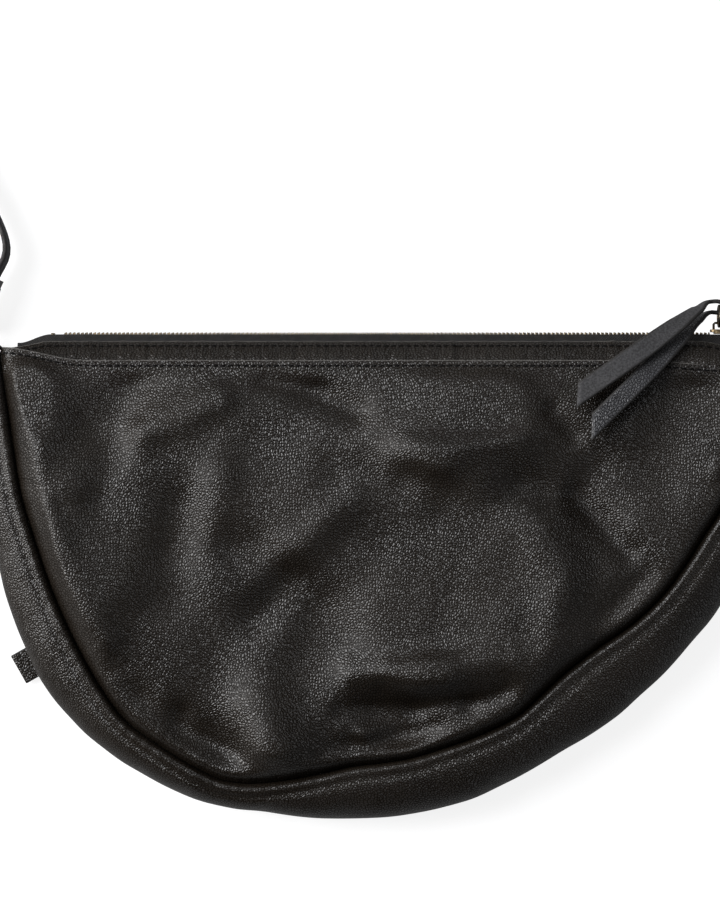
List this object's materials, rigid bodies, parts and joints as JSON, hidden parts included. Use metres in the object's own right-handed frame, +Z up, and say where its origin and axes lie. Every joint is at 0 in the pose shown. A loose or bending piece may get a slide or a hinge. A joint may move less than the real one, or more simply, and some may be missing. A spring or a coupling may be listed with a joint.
{
  "type": "half moon bag",
  "caption": "Soft half moon leather bag lying on its back: crowned front, bellied gusset, closed metal zip with a leather tie pull, shoulder strap on rings",
  "frame": {"origin": "on the flat outside of the back panel, under the middle of the bag", "axes": "+X to the right along the zip, +Y towards the zip, +Z up out of the front panel, with the bag lying on its back"},
  "size_m": [0.4972, 0.5882, 0.0581],
  "materials": {
    "leather": "pebbled grain, soft sheen",
    "tie_leather": "grain side pebbled, flesh side matt",
    "zip_tape": "woven",
    "zip_brass": "antique",
    "dark_brass": "antique"
  },
  "bodies": {
    "bag": {"back_panel": "leather", "front_panel": "leather", "gusset": "leather", "front_facing": "leather", "back_facing": "leather", "left_ring_tab": "leather", "right_ring_tab": "leather", "side_tab": "leather", "front_zip_tape": "zip_tape", "back_zip_tape": "zip_tape", "front_zip_teeth": "zip_brass", "back_zip_teeth": "zip_brass", "zip_top_stops": "zip_brass", "zip_bottom_stop": "zip_brass"},
    "slider": {"slider_body": "zip_brass"},
    "puller": {"pull_ring": "dark_brass"},
    "tie": {"pull_tie": "tie_leather"},
    "left_ring": {"left_ring": "dark_brass"},
    "right_ring": {"right_ring": "dark_brass"},
    "strap": {"strap": "leather", "strap_rivets": "dark_brass"}
  },
  "joints": [
    {"name": "zip_slide", "type": "slide", "parent": "bag", "child": "slider", "axis": [1, 0, 0], "range_m": [-0.3495, 0], "deforming": ["front_zip_teeth", "back_zip_teeth"]},
    {"name": "pull_swing", "type": "hinge", "parent": "slider", "child": "puller", "pos_m": [0.18689, 0.1245, 0.021], "axis": [0, 0, 1], "range_deg": [-80, 0]},
    {"name": "tie_swing", "type": "hinge", "parent": "puller", "child": "tie", "pos_m": [0.18689, 0.1299, 0.021], "axis": [-1, 0, 0], "range_deg": [0, 60]},
    {"name": "left_ring_swing", "type": "hinge", "parent": "bag", "child": "left_ring", "pos_m": [-0.2108, 0.1145, 0.0146], "axis": [0, 0, 1], "range_deg": [-40, 40]},
    {"name": "right_ring_swing", "type": "hinge", "parent": "bag", "child": "right_ring", "pos_m": [0.228, 0.1145, 0.0146], "axis": [0, 0, 1], "range_deg": [-40, 40]},
    {"name": "strap_sway", "type": "hinge", "parent": "left_ring", "child": "strap", "pos_m": [-0.2108, 0.1265, 0.0146], "axis": [0, 0, 1], "range_deg": [-40, 40]}
  ],
  "couplings": [
    {"joint": "right_ring_swing", "follows": "left_ring_swing", "ratio": 1},
    {"joint": "strap_sway", "follows": "left_ring_swing", "ratio": -1}
  ]
}
